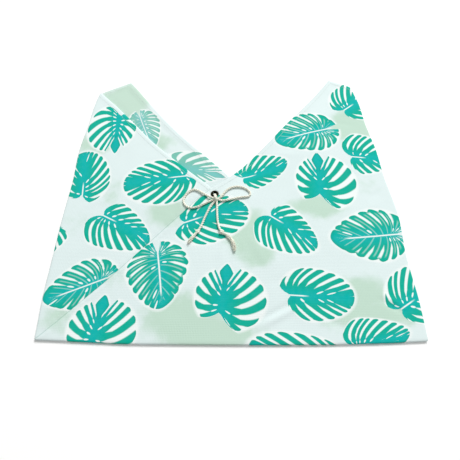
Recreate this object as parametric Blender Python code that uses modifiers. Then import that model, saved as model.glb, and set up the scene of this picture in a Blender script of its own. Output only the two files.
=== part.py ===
# Azuma bag: one strip of printed cloth, folded and sewn into a flat bag with two ears,
# with an eyelet at the notch and a cord through it, tied in a bow.
# All lengths are in metres. Places on the bag are taken as with a tape on a table:
# x from its middle line, y from its near edge towards the ears, and z from the table.
import math

import bmesh
import bpy
import numpy as np

# The bag as drafted: half a square with an ear on each side, and the lap by which
# each end of the strip stands in from the corner of its ear.
HALF_WIDTH = 0.225
LAP = 0.0281

# The cloth and how its two layers lie.
CLOTH_THICKNESS = 0.0012
FOLD_HEIGHT = 0.0032
FOLD_STEPS = 4
FOLD_FADE = 0.028
NOTCH_COLUMNS = 3
SIDE_COLUMNS = 15
TIP_COLUMNS = 3
CLOTH_ROWS = 29

# Each pair is a drafted point and the place where it lies in the real, uneven bag.
LYING_POINTS = [
    ((-0.2250, 0.0000), (-0.2200, 0.0000)),
    ((-0.1125, 0.0000), (-0.1130, -0.0045)),
    ((0.0000, 0.0000), (0.0000, -0.0055)),
    ((0.1125, 0.0000), (0.1135, -0.0052)),
    ((0.2250, 0.0000), (0.2225, -0.0015)),
    ((-0.2250, 0.0500), (-0.2233, 0.0500)),
    ((-0.2250, 0.1000), (-0.2243, 0.1030)),
    ((-0.2250, 0.1600), (-0.2253, 0.1650)),
    ((-0.2250, 0.2200), (-0.2248, 0.2280)),
    ((-0.2250, 0.2700), (-0.2272, 0.2810)),
    ((-0.2250, 0.3200), (-0.2240, 0.3340)),
    ((-0.2250, 0.3600), (-0.2225, 0.3750)),
    ((-0.2250, 0.3938), (-0.2180, 0.4110)),
    ((-0.1969, 0.4219), (-0.1714, 0.4380)),
    ((-0.0984, 0.3234), (-0.0915, 0.3315)),
    ((-0.1266, 0.2953), (-0.1240, 0.3045)),
    ((-0.0281, 0.1969), (-0.0258, 0.2095)),
    ((0.0000, 0.2250), (0.0010, 0.2305)),
    ((-0.1580, 0.0670), (-0.1530, 0.0690)),
    ((0.1200, 0.1200), (0.1210, 0.1240)),
    ((0.2250, 0.0500), (0.2243, 0.0500)),
    ((0.2250, 0.1000), (0.2233, 0.1040)),
    ((0.2250, 0.1600), (0.2272, 0.1660)),
    ((0.2250, 0.2200), (0.2218, 0.2310)),
    ((0.2250, 0.2700), (0.2203, 0.2840)),
    ((0.2250, 0.3200), (0.2144, 0.3370)),
    ((0.2250, 0.3600), (0.2119, 0.3850)),
    ((0.2250, 0.3938), (0.2045, 0.4250)),
    ((0.1969, 0.4219), (0.1725, 0.4445)),
    ((0.0984, 0.3234), (0.0890, 0.3370)),
]
MIDDLE_Y = 0.2187

# Soft swells of the upper layer: middle, reach along x and y, and height.
SWELLS = [
    ((0.035, 0.105), (0.085, 0.055), 0.0015),
    ((-0.120, 0.215), (0.050, 0.060), 0.0011),
    ((0.135, 0.290), (0.045, 0.070), 0.0012),
    ((0.150, 0.160), (0.050, 0.040), 0.0009),
    ((-0.105, 0.075), (0.060, 0.040), 0.0008),
]

# The eyelet at the notch, and the level rise of the cloth round it.
EYELET_PLACE = (-0.0214, 0.1989)
EYELET_RISE = 0.0020
RISE_FLAT = 0.022
RISE_END = 0.065
EYELET_HOLE = 0.0030
EYELET_WALL = 0.0004
EYELET_UPPER_RADIUS = 0.00575
EYELET_LOWER_RADIUS = 0.0052
EYELET_SHEET = 0.00045
EYELET_CROWN = 0.0009
EYELET_STEPS = 28
MERGE_DISTANCE = 0.00001
SEAT_GAP = 0.0003

# The cord, its bow knot and its frayed ends.
CORD_DIAMETER = 0.0030
CORD_SPACING = 2.0
CORD_SIDES = 2
ROUTE_FINENESS = 24
KNOT_PLACE = (-0.0194, 0.1883)
KNOT_SIZE = (0.0106, 0.0086, 0.0066)
KNOT_SEGMENTS = 20
KNOT_RINGS = 12
WRAP_RADIUS = 0.0026
WRAP_TILT = math.radians(12)
WRAP_SEGMENTS = 20
WRAP_SIDES = 10
STEM_RADIUS = 0.0019

# The cord's stem, by hand: out of the eyelet, over its crown and down into the knot.
STEM_ROUTE = [
    (-0.0214, 0.1989, 0.0018), (-0.0214, 0.1989, 0.0045), (-0.0214, 0.1987, 0.0073),
    (-0.0211, 0.1969, 0.0098), (-0.0203, 0.1937, 0.0098), (-0.0194, 0.1895, 0.0079),
]
# The cord's free stretches, by hand: x, y and the height of its middle over the cloth.
LEFT_LOOP = [
    (-0.0249, 0.1906, 0.0035), (-0.0315, 0.1945, 0.0031), (-0.0376, 0.1990, 0.0026),
    (-0.0440, 0.2035, 0.0022), (-0.0507, 0.2056, 0.0020), (-0.0571, 0.2023, 0.0020),
    (-0.0616, 0.1966, 0.0020), (-0.0640, 0.1898, 0.0020), (-0.0632, 0.1832, 0.0020),
    (-0.0588, 0.1776, 0.0020), (-0.0520, 0.1752, 0.0020), (-0.0443, 0.1766, 0.0020),
    (-0.0366, 0.1806, 0.0020), (-0.0306, 0.1842, 0.0021), (-0.0249, 0.1870, 0.0024),
]
RIGHT_LOOP = [
    (-0.0139, 0.1909, 0.0035), (-0.0104, 0.1956, 0.0031), (-0.0068, 0.2014, 0.0026),
    (-0.0014, 0.2070, 0.0022), (0.0056, 0.2104, 0.0020), (0.0132, 0.2111, 0.0020),
    (0.0204, 0.2092, 0.0020), (0.0262, 0.2048, 0.0020), (0.0286, 0.1996, 0.0020),
    (0.0258, 0.1950, 0.0020), (0.0194, 0.1934, 0.0020), (0.0122, 0.1922, 0.0020),
    (0.0050, 0.1899, 0.0020), (-0.0026, 0.1880, 0.0020), (-0.0084, 0.1868, 0.0021),
    (-0.0139, 0.1871, 0.0024),
]
LEFT_TAIL = [
    (-0.0218, 0.1841, 0.0023), (-0.0250, 0.1792, 0.0021), (-0.0284, 0.1728, 0.0020),
    (-0.0312, 0.1662, 0.0020), (-0.0339, 0.1592, 0.0020), (-0.0362, 0.1522, 0.0021),
    (-0.0385, 0.1458, 0.0024), (-0.0409, 0.1405, 0.0030),
]
RIGHT_TAIL = [
    (-0.0181, 0.1839, 0.0023), (-0.0178, 0.1780, 0.0021), (-0.0175, 0.1706, 0.0020),
    (-0.0172, 0.1634, 0.0020), (-0.0166, 0.1562, 0.0020), (-0.0155, 0.1492, 0.0021),
    (-0.0140, 0.1434, 0.0025), (-0.0126, 0.1398, 0.0030),
]
# Each end runs on through its knot to the frayed tip: x, y, height and radius.
LEFT_END = [
    (-0.0412, 0.1399, 0.0031, 0.0015), (-0.0416, 0.1393, 0.0034, 0.0027),
    (-0.0424, 0.1381, 0.0037, 0.0033), (-0.0432, 0.1369, 0.0036, 0.0029),
    (-0.0441, 0.1357, 0.0030, 0.0018), (-0.0462, 0.1330, 0.0026, 0.0019),
    (-0.0492, 0.1288, 0.0027, 0.0023), (-0.0518, 0.1246, 0.0029, 0.0025),
    (-0.0540, 0.1205, 0.0029, 0.0021),
]
RIGHT_END = [
    (-0.0121, 0.1391, 0.0031, 0.0015), (-0.0117, 0.1383, 0.0034, 0.0026),
    (-0.0111, 0.1374, 0.0037, 0.0033), (-0.0102, 0.1363, 0.0036, 0.0029),
    (-0.0090, 0.1354, 0.0030, 0.0018), (-0.0058, 0.1336, 0.0026, 0.0019),
    (-0.0016, 0.1300, 0.0026, 0.0021), (0.0018, 0.1254, 0.0027, 0.0023),
    (0.0042, 0.1200, 0.0029, 0.0025), (0.0056, 0.1140, 0.0030, 0.0026),
    (0.0062, 0.1085, 0.0029, 0.0021),
]

CLOTH_COLOUR = (0.72, 0.88, 0.82)
METAL_COLOUR = (0.035, 0.034, 0.028)
CORD_COLOUR = (0.78, 0.75, 0.62)


def clear_scene():
    for old in list(bpy.data.objects):
        bpy.data.objects.remove(old, do_unlink=True)


def make_collections():
    parts = bpy.data.collections.new("azuma_bag")
    cutters = bpy.data.collections.new("cutters")
    for collection in (parts, cutters):
        bpy.context.scene.collection.children.link(collection)
    return parts, cutters


def make_material(name, colour, roughness, metallic=0.0):
    material = bpy.data.materials.new(name)
    material.use_nodes = True
    shader = material.node_tree.nodes["Principled BSDF"]
    shader.inputs["Base Color"].default_value = (*colour, 1.0)
    shader.inputs["Roughness"].default_value = roughness
    shader.inputs["Metallic"].default_value = metallic
    material.diffuse_color = (*colour, 1.0)
    return material


def move_to(obj, collection):
    for holder in list(obj.users_collection):
        holder.objects.unlink(obj)
    collection.objects.link(obj)


def soft_step(amount):
    amount = min(1.0, max(0.0, amount))
    return amount * amount * (3.0 - 2.0 * amount)


# From the drafted bag to the bag as it lies: a thin plate bent through the pairs.

def plate_weight(distance):
    smallest = 1e-9
    return distance ** 2 * np.log(distance + smallest)


def make_lay(pairs):
    drafted = np.array([pair[0] for pair in pairs])
    lying = np.array([pair[1] for pair in pairs])
    count = len(pairs)
    system = np.zeros((count + 3, count + 3))
    spans = np.linalg.norm(drafted[:, None] - drafted[None], axis=2)
    system[:count, :count] = plate_weight(spans)
    system[:count, count:] = np.column_stack([np.ones(count), drafted])
    system[count:, :count] = system[:count, count:].T
    weights = np.linalg.solve(system, np.vstack([lying, np.zeros((3, 2))]))

    def lay(x, y):
        reach = np.linalg.norm(drafted - (x, y), axis=1)
        return np.concatenate([plate_weight(reach), [1.0, x, y]]) @ weights

    return lay


# The cloth.

def front_top(x):
    notch_edges = max(HALF_WIDTH - 2 * LAP - x, HALF_WIDTH + x)
    blunt_end = 3 * HALF_WIDTH - 2 * LAP - x
    return min(notch_edges, blunt_end)


def column_stations():
    tip = HALF_WIDTH - LAP
    right = list(np.linspace(0.0, LAP, NOTCH_COLUMNS))
    right += list(np.linspace(LAP, tip, SIDE_COLUMNS))[1:]
    right += list(np.linspace(tip, HALF_WIDTH, TIP_COLUMNS))[1:]
    return [-x for x in reversed(right[1:])] + right


def eyelet_rise(place):
    away = math.dist(place, EYELET_PLACE)
    return EYELET_RISE * (1.0 - soft_step((away - RISE_FLAT) / (RISE_END - RISE_FLAT)))


def swell_height(place):
    total = eyelet_rise(place)
    for middle, reach, height in SWELLS:
        across = (place[0] - middle[0]) / reach[0]
        along = (place[1] - middle[1]) / reach[1]
        total += height * math.exp(-across * across - along * along)
    return total


def cloth_top(place):
    # Outer height of the upper layer, away from the folds
    return FOLD_HEIGHT + swell_height(place)


def front_height(drafted, place):
    from_fold = min(HALF_WIDTH - abs(drafted[0]), drafted[1])
    return FOLD_HEIGHT + swell_height(place) * soft_step(from_fold / FOLD_FADE)


def layer_rows(lay, top, height):
    rows = []
    for step in np.linspace(0.0, 1.0, CLOTH_ROWS):
        row = []
        for x in column_stations():
            drafted = (x, step * top(x))
            place = lay(*drafted)
            row.append((place[0], place[1] - MIDDLE_Y, height(drafted, place)))
        rows.append(row)
    return rows


def folded_rim(rows):
    # Down the left side, along the near edge and up the right side
    left = [row[0] for row in reversed(rows)]
    right = [row[-1] for row in rows]
    return left + rows[0][1:-1] + right


def outward(path, index):
    before = path[max(index - 1, 0)]
    after = path[min(index + 1, len(path) - 1)]
    along = np.array([after[0] - before[0], after[1] - before[1]])
    along /= np.linalg.norm(along)
    return along[1], -along[0]


def fold_rows(back_rim):
    # Half circles from the lower layer's rim round to the upper layer's
    radius = FOLD_HEIGHT / 2
    rows = []
    for step in range(1, FOLD_STEPS):
        turn = math.pi * step / FOLD_STEPS
        row = []
        for index, corner in enumerate(back_rim):
            out_x, out_y = outward(back_rim, index)
            reach = radius * math.sin(turn)
            rise = radius * (1.0 - math.cos(turn))
            row.append((corner[0] + out_x * reach, corner[1] + out_y * reach, rise))
        rows.append(row)
    return rows


def add_rows(mesh, rows):
    return [[mesh.verts.new(place) for place in row] for row in rows]


def skin(mesh, rows):
    for lower, upper in zip(rows, rows[1:]):
        for index in range(len(lower) - 1):
            mesh.faces.new((lower[index], lower[index + 1], upper[index + 1], upper[index]))


def build_cloth(collection, material):
    lay = make_lay(LYING_POINTS)
    front = layer_rows(lay, front_top, front_height)
    back = layer_rows(lay, lambda x: front_top(-x), lambda drafted, place: 0.0)
    mesh = bmesh.new()
    front_verts = add_rows(mesh, front)
    back_verts = add_rows(mesh, back)
    fold_verts = add_rows(mesh, fold_rows(folded_rim(back)))
    skin(mesh, front_verts)
    skin(mesh, list(reversed(back_verts)))
    skin(mesh, [folded_rim(back_verts), *fold_verts, folded_rim(front_verts)])
    data = bpy.data.meshes.new("bag_cloth")
    mesh.to_mesh(data)
    mesh.free()
    cloth = bpy.data.objects.new("bag_cloth", data)
    collection.objects.link(cloth)
    data.materials.append(material)
    thickness = cloth.modifiers.new("cloth thickness", "SOLIDIFY")
    thickness.thickness = CLOTH_THICKNESS
    thickness.offset = -1.0
    return cloth


def cut_eyelet_hole(cloth, cutters):
    x, y = EYELET_PLACE
    bpy.ops.mesh.primitive_cylinder_add(
        vertices=EYELET_STEPS,
        radius=EYELET_HOLE + EYELET_WALL + SEAT_GAP,
        depth=3 * CLOTH_THICKNESS,
        location=(x, y - MIDDLE_Y, eyelet_middle()),
    )
    cutter = bpy.context.object
    cutter.name = "eyelet_hole_cutter"
    cutter.hide_render = True
    cutter.display_type = "WIRE"
    move_to(cutter, cutters)
    hole = cloth.modifiers.new("eyelet hole", "BOOLEAN")
    hole.operation = "DIFFERENCE"
    hole.solver = "EXACT"
    hole.object = cutter


# The eyelet.

def eyelet_middle():
    # Middle height of the cloth where the eyelet grips it
    return FOLD_HEIGHT + swell_height(EYELET_PLACE) - CLOTH_THICKNESS / 2


def eyelet_section():
    # Closed ring section at +X, from the crown down round the barrel and the lower flange
    grip = CLOTH_THICKNESS / 2 + SEAT_GAP
    barrel = EYELET_HOLE + EYELET_WALL
    crown = grip + EYELET_CROWN
    foot = -grip - EYELET_SHEET
    middle = (EYELET_HOLE + EYELET_UPPER_RADIUS) / 2
    return [
        (EYELET_HOLE, crown - EYELET_SHEET),
        (EYELET_HOLE + EYELET_WALL, crown),
        (middle, crown + EYELET_SHEET / 2),
        (EYELET_UPPER_RADIUS - EYELET_SHEET, crown - EYELET_SHEET / 3),
        (EYELET_UPPER_RADIUS, grip + EYELET_SHEET / 2),
        (EYELET_UPPER_RADIUS - EYELET_SHEET / 3, grip),
        (barrel, grip),
        (barrel, -grip),
        (EYELET_LOWER_RADIUS, -grip),
        (EYELET_LOWER_RADIUS, foot),
        (EYELET_HOLE, foot),
    ]


def build_eyelet(collection, material):
    mesh = bmesh.new()
    section = [mesh.verts.new((radius, 0.0, height)) for radius, height in eyelet_section()]
    for index, corner in enumerate(section):
        mesh.edges.new((corner, section[(index + 1) % len(section)]))
    data = bpy.data.meshes.new("eyelet")
    mesh.to_mesh(data)
    mesh.free()
    eyelet = bpy.data.objects.new("eyelet", data)
    collection.objects.link(eyelet)
    data.materials.append(material)
    x, y = EYELET_PLACE
    eyelet.location = (x, y - MIDDLE_Y, eyelet_middle())
    turned = eyelet.modifiers.new("turned ring", "SCREW")
    turned.steps = EYELET_STEPS
    turned.render_steps = EYELET_STEPS
    turned.use_merge_vertices = True
    turned.merge_threshold = MERGE_DISTANCE
    turned.use_normal_calculate = True
    return eyelet


# The cord.

def smooth_route(points, spacing):
    # Even steps along a Catmull-Rom curve through the route's own points
    table = np.array(points)
    first = 2 * table[0] - table[1]
    last = 2 * table[-1] - table[-2]
    table = np.vstack([first, table, last])
    fine = []
    for index in range(1, len(table) - 2):
        before, start, end, after = table[index - 1:index + 3]
        for t in np.linspace(0.0, 1.0, ROUTE_FINENESS, endpoint=False):
            fine.append(0.5 * (
                2 * start + (end - before) * t
                + (2 * before - 5 * start + 4 * end - after) * t ** 2
                + (3 * start - before - 3 * end + after) * t ** 3
            ))
    fine.append(table[-2])
    fine = np.array(fine)
    steps = np.linalg.norm(np.diff(fine[:, :3], axis=0), axis=1)
    run = np.concatenate([[0.0], np.cumsum(steps)])
    count = max(2, round(run[-1] / spacing))
    wanted = np.linspace(0.0, run[-1], count + 1)
    return np.column_stack([np.interp(wanted, run, fine[:, axis]) for axis in range(fine.shape[1])])


def over_cloth(points):
    # Heights over the cloth turned into heights over the table
    placed = []
    for x, y, height, *rest in points:
        placed.append((x, y - MIDDLE_Y, cloth_top((x, y)) + height, *rest))
    return placed


def build_tube(name, points, radii, collection, material):
    data = bpy.data.curves.new(name, "CURVE")
    data.dimensions = "3D"
    data.bevel_depth = 1.0
    data.bevel_resolution = CORD_SIDES
    data.use_fill_caps = True
    line = data.splines.new("POLY")
    line.points.add(len(points) - 1)
    for point, place, radius in zip(line.points, points, radii):
        point.co = (*place, 1.0)
        point.radius = radius
    data.materials.append(material)
    tube = bpy.data.objects.new(name, data)
    collection.objects.link(tube)
    return tube


def build_cord(name, route, collection, material):
    path = smooth_route(over_cloth(route), CORD_SPACING * CORD_DIAMETER)
    radii = [CORD_DIAMETER / 2] * len(path)
    return build_tube(name, path, radii, collection, material)


def build_cord_end(name, route, collection, material):
    path = smooth_route(over_cloth(route), CORD_DIAMETER / 2)
    return build_tube(name, path[:, :3], path[:, 3], collection, material)


def build_knot(collection, cutters, material):
    # The lump of the crossing strands, the turn wrapped round it, and the stem
    x, y = KNOT_PLACE
    floor = cloth_top(KNOT_PLACE) + SEAT_GAP
    bpy.ops.mesh.primitive_uv_sphere_add(
        segments=KNOT_SEGMENTS,
        ring_count=KNOT_RINGS,
        radius=0.5,
        location=(x, y - MIDDLE_Y, floor + KNOT_SIZE[2] / 2),
    )
    knot = bpy.context.object
    knot.name = "bow_knot"
    knot.scale = KNOT_SIZE
    knot.data.materials.append(material)
    move_to(knot, collection)

    bpy.ops.mesh.primitive_torus_add(
        major_segments=WRAP_SEGMENTS,
        minor_segments=WRAP_SIDES,
        major_radius=WRAP_RADIUS,
        minor_radius=CORD_DIAMETER / 2,
        location=(x, y - MIDDLE_Y, floor + WRAP_RADIUS + CORD_DIAMETER / 2),
        rotation=(0.0, math.pi / 2, WRAP_TILT),
    )
    wrap = bpy.context.object
    wrap.name = "knot_wrap_form"
    join_form(knot, wrap, cutters)
    join_form(knot, build_stem(cutters, material), cutters)
    return knot


def build_stem(collection, material):
    route = [(x, y - MIDDLE_Y, height) for x, y, height in STEM_ROUTE]
    path = smooth_route(route, STEM_RADIUS)
    return build_tube("knot_stem_form", path, [STEM_RADIUS] * len(path), collection, material)


def join_form(body, form, cutters):
    move_to(form, cutters)
    form.hide_render = True
    form.display_type = "WIRE"
    if form.type == "CURVE":
        form = as_mesh(form, cutters)
    union = body.modifiers.new(form.name, "BOOLEAN")
    union.operation = "UNION"
    union.solver = "EXACT"
    union.object = form


def as_mesh(curve, cutters):
    # A boolean takes only a mesh, so the tube is turned into one
    name = curve.name
    data = bpy.data.meshes.new_from_object(curve.evaluated_get(bpy.context.evaluated_depsgraph_get()))
    bpy.data.objects.remove(curve, do_unlink=True)
    form = bpy.data.objects.new(name, data)
    form.hide_render = True
    form.display_type = "WIRE"
    cutters.objects.link(form)
    return form


def main():
    clear_scene()
    parts, cutters = make_collections()
    cotton = make_material("printed cotton", CLOTH_COLOUR, 0.85)
    metal = make_material("aged brass", METAL_COLOUR, 0.35, 1.0)
    cord = make_material("cream cotton cord", CORD_COLOUR, 0.8)

    cloth = build_cloth(parts, cotton)
    cut_eyelet_hole(cloth, cutters)
    build_eyelet(parts, metal)
    build_knot(parts, cutters, cord)
    build_cord("cord_loop_left", LEFT_LOOP, parts, cord)
    build_cord("cord_loop_right", RIGHT_LOOP, parts, cord)
    build_cord("cord_tail_left", LEFT_TAIL, parts, cord)
    build_cord("cord_tail_right", RIGHT_TAIL, parts, cord)
    build_cord_end("cord_end_left", LEFT_END, parts, cord)
    build_cord_end("cord_end_right", RIGHT_END, parts, cord)


main()
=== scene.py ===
import math

import bpy
import numpy as np
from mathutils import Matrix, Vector, bvhtree, noise


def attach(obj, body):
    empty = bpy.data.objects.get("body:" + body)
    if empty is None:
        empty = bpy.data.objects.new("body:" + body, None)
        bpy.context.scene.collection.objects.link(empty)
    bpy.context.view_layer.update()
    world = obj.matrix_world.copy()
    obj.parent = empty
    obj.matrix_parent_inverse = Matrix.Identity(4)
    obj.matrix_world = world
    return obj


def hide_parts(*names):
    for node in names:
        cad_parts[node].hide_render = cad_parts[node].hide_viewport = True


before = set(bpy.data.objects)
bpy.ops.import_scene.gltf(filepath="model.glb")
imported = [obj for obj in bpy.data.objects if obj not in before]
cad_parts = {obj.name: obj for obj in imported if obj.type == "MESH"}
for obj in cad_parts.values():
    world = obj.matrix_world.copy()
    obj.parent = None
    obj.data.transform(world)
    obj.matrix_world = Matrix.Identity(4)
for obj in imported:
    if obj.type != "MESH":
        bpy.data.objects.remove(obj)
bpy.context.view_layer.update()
print("stage: frame loaded")


# Shared helpers

def toLinear(hexColour):
    # sRGB hex to the linear colour that a shader takes
    channels = [int(hexColour[i:i + 2], 16) / 255 for i in (1, 3, 5)]
    linear = [c / 12.92 if c <= 0.04045 else ((c + 0.055) / 1.055) ** 2.4 for c in channels]
    return (*linear, 1.0)


def addNode(tree, kind, settings):
    # Lower-case names are the node's own settings. Other names and numbers are its inputs,
    # linked to where the value is another node's output.
    node = tree.nodes.new("ShaderNode" + kind)
    for name, value in settings.items():
        if isinstance(name, str) and name[0].islower():
            setattr(node, name, value)
        elif isinstance(value, bpy.types.NodeSocket):
            tree.links.new(value, node.inputs[name])
        else:
            node.inputs[name].default_value = value
    return node


def newMaterial(name, settings):
    material = bpy.data.materials.new(name)
    material.use_nodes = True
    tree = material.node_tree
    tree.nodes.clear()
    shader = addNode(tree, "BsdfPrincipled", settings)
    addNode(tree, "OutputMaterial", {"Surface": shader.outputs[0]})
    return material, tree, shader


def placeObject(name, data, location=(0.0, 0.0, 0.0)):
    placed = bpy.data.objects.new(name, data)
    placed.location = location
    bpy.context.scene.collection.objects.link(placed)
    return placed


def newPiece(name, verts, faces, material):
    mesh = bpy.data.meshes.new(name)
    mesh.from_pydata([tuple(v) for v in verts], [], [tuple(f) for f in faces])
    mesh.polygons.foreach_set("use_smooth", [True] * len(mesh.polygons))
    mesh.materials.append(material)
    piece = placeObject(name, mesh)
    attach(piece, "root")
    return piece


def softStep(amount):
    amount = np.clip(amount, 0.0, 1.0)
    return amount * amount * (3.0 - 2.0 * amount)


def runAlong(path):
    # Distance from the start of a path, at each of its points
    return np.concatenate([[0.0], np.cumsum(np.linalg.norm(np.diff(path, axis=0), axis=1))])


# The camera, at the photograph's viewing angle

view = {
    "place": (0.0, -0.3227, 0.424),
    "tilt": math.radians(30.3),     # from straight down
    "lens": 28.8,                   # millimetres, and the sensor too
    "sensor": 36.0,
    "nearest": 0.01,
}

lens = bpy.data.cameras.new("photoCamera")
lens.lens = view["lens"]
lens.sensor_width = view["sensor"]
lens.clip_start = view["nearest"]
camera = placeObject("photoCamera", lens, view["place"])
camera.rotation_euler = (view["tilt"], 0.0, 0.0)
bpy.context.scene.camera = camera
print("stage: camera")


# How high the upper layer of the cloth lies, which the cord needs too

lying = {
    "middleY": 0.2187,              # from the near edge to the model's origin
    "foldHeight": 0.0032,
    "eyelet": (-0.0214, 0.1989),
    "eyeletRise": 0.0020,
    "riseFlat": 0.022,
    "riseEnd": 0.065,
    # soft swells of the upper layer: middle, reach along x and y, height
    "swells": [
        ((0.035, 0.105), (0.085, 0.055), 0.0015),
        ((-0.120, 0.215), (0.050, 0.060), 0.0011),
        ((0.135, 0.290), (0.045, 0.070), 0.0012),
        ((0.150, 0.160), (0.050, 0.040), 0.0009),
        ((-0.105, 0.075), (0.060, 0.040), 0.0008),
    ],
}


def swellHeight(x, y):
    away = np.hypot(x - lying["eyelet"][0], y - lying["eyelet"][1])
    span = lying["riseEnd"] - lying["riseFlat"]
    total = lying["eyeletRise"] * (1.0 - softStep((away - lying["riseFlat"]) / span))
    for (middleX, middleY), (reachX, reachY), height in lying["swells"]:
        total = total + height * np.exp(-((x - middleX) / reachX) ** 2 - ((y - middleY) / reachY) ** 2)
    return total


# The cord: three plies of cream cotton twisted together

cordLook = {
    "diameter": 0.0030,
    "plies": 3,
    "plyOffset": 0.56,              # of the cord's radius
    "plyRadius": 0.50,              # of the cord's radius
    "pitch": 0.0105,                # one full turn of a ply
    "sides": 18,
    "ringSpacing": 0.0006,
    "fineness": 24,                 # steps of the curve between two points of a route
    "settle": 0.0003,               # how far it beds down towards the cloth
    "tones": [(0.30, "#e9e9db"), (0.70, "#fffff9")],
    "warmth": "#f8f6ea",
    "yarns": (0.35, 2.8, 1.0),      # to a millimetre along and round a ply, so they show as long lines
    "patches": 0.12,                # to a millimetre
    "yarnBump": 0.0003,
}


def cordMaterial():
    # Cream cotton, twisted from soft yarns: matt, with fine hairy lines along each ply
    material, tree, shader = newMaterial("cream twisted cotton cord", {
        "Roughness": 0.86, "IOR": 1.5, "Specular IOR Level": 0.15,
        "Sheen Weight": 0.1, "Sheen Roughness": 0.5,
    })
    along = addNode(tree, "UVMap", {"uv_map": "yarn"}).outputs[0]    # in millimetres
    drawn = addNode(tree, "Mapping", {"Scale": cordLook["yarns"], "Vector": along})
    yarns = addNode(tree, "TexNoise", {"Scale": 1.0, "Detail": 3.0, "Vector": drawn.outputs[0]})
    patches = addNode(tree, "TexNoise", {"Scale": cordLook["patches"], "Detail": 2.0, "Vector": along})
    tones = addNode(tree, "ValToRGB", {"Fac": yarns.outputs[0]})
    for element, (position, colour) in zip(tones.color_ramp.elements, cordLook["tones"]):
        element.position = position
        element.color = toLinear(colour)
    warmth = addNode(tree, "Mix", {
        "data_type": "RGBA", "blend_type": "MULTIPLY",
        0: patches.outputs[0], 6: tones.outputs[0], 7: toLinear(cordLook["warmth"]),
    })
    bump = addNode(tree, "Bump", {
        "Strength": 0.5, "Distance": cordLook["yarnBump"], "Height": yarns.outputs[0],
    })
    tree.links.new(warmth.outputs[2], shader.inputs["Base Color"])
    tree.links.new(bump.outputs[0], shader.inputs["Normal"])
    return material


def smoothRoute(points):
    # Even steps along a Catmull-Rom curve through the route's own points
    table = np.array(points, dtype=float)
    table = np.vstack([2 * table[0] - table[1], table, 2 * table[-1] - table[-2]])
    fine = []
    for before, start, end, after in zip(table, table[1:], table[2:], table[3:]):
        for t in np.linspace(0.0, 1.0, cordLook["fineness"], endpoint=False):
            fine.append(0.5 * (
                2 * start + (end - before) * t
                + (2 * before - 5 * start + 4 * end - after) * t ** 2
                + (3 * start - before - 3 * end + after) * t ** 3
            ))
    fine = np.array([*fine, table[-2]])
    run = runAlong(fine[:, :3])
    count = max(2, round(run[-1] / cordLook["ringSpacing"]))
    wanted = np.linspace(0.0, run[-1], count + 1)
    return np.column_stack([np.interp(wanted, run, column) for column in fine.T])


def overCloth(points, settle=cordLook["settle"]):
    # Heights over the cloth turned into heights over the table
    placed = []
    for x, y, height, *rest in points:
        z = lying["foldHeight"] + swellHeight(x, y) + height - settle
        placed.append((x, y - lying["middleY"], z, *rest))
    return placed


def roundSection(sides):
    # The angles of a tube's sides, and how far each stands out as a share of the radius
    return np.linspace(0.0, 2 * math.pi, sides, endpoint=False), np.ones(sides)


def twistedSection():
    # The same for the cord: the outline of its plies
    angles, _ = roundSection(cordLook["sides"])
    off = cordLook["plyOffset"]
    reach = np.zeros(len(angles))
    for ply in range(cordLook["plies"]):
        turn = angles - 2 * math.pi * ply / cordLook["plies"]
        inside = cordLook["plyRadius"] ** 2 - (off * np.sin(turn)) ** 2
        hit = off * np.cos(turn) + np.sqrt(np.maximum(inside, 0.0))
        reach = np.maximum(reach, np.where(inside > 0, hit, 0.0))
    return angles, reach


def sidesAlong(path):
    # A steady pair of side directions at each point of the path
    tangents = np.gradient(path, axis=0)
    tangents /= np.linalg.norm(tangents, axis=1)[:, None]
    side = np.cross(tangents[0], (0.0, 0.0, 1.0))
    if np.linalg.norm(side) < 0.1:      # the path starts upright
        side = np.cross(tangents[0], (0.0, 1.0, 0.0))
    sides = []
    for tangent in tangents:
        side = side - tangent * np.dot(side, tangent)
        side = side / np.linalg.norm(side)
        sides.append(side)
    return np.array(sides), np.cross(tangents, sides)


def emptyForm():
    return {"verts": [], "faces": [], "yarn": []}


def addTube(form, path, radii, section, twist=0.0):
    # One tube along the path; twist is the turn per metre. The yarn map is in millimetres.
    angles, reach = section
    path = np.asarray(path)
    radii = np.broadcast_to(radii, len(path))
    across, up = sidesAlong(path)
    run = runAlong(path)
    first = len(form["verts"])
    count = len(angles)
    for centre, radius, sideways, upward, along in zip(path, radii, across, up, run):
        turned = angles + along * twist
        spokes = np.outer(np.cos(turned), sideways) + np.outer(np.sin(turned), upward)
        form["verts"].extend(centre + spokes * (reach * radius)[:, None])
    for ring in range(len(path) - 1):
        low = first + ring * count
        lower, upper = 1000 * run[ring], 1000 * run[ring + 1]
        for index in range(count):
            beside = (index + 1) % count
            form["faces"].append((low + index, low + beside, low + count + beside, low + count + index))
            left, right = (1000 * radii[ring] * 2 * math.pi * edge / count for edge in (index, index + 1))
            form["yarn"].extend([(lower, left), (lower, right), (upper, right), (upper, left)])
    last = first + (len(path) - 1) * count
    form["faces"].append(tuple(first + index for index in reversed(range(count))))
    form["faces"].append(tuple(last + index for index in range(count)))
    form["yarn"].extend([(0.0, 0.0)] * (2 * count))


def addTwisted(form, points, radius=cordLook["diameter"] / 2):
    path = smoothRoute(points)[:, :3]
    addTube(form, path, radius, cordSection, cordTwist)
    return path


def formPiece(name, form, material):
    piece = newPiece(name, form["verts"], form["faces"], material)
    layer = piece.data.uv_layers.new(name="yarn")
    layer.data.foreach_set("uv", np.array(form["yarn"], dtype=np.float32).ravel())
    return piece


def cordPiece(name, form, node):
    piece = formPiece(name, form, cordCotton)
    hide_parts(node)
    return piece


cordCotton = cordMaterial()
cordSection = twistedSection()
cordTwist = 2 * math.pi / cordLook["pitch"]

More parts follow.
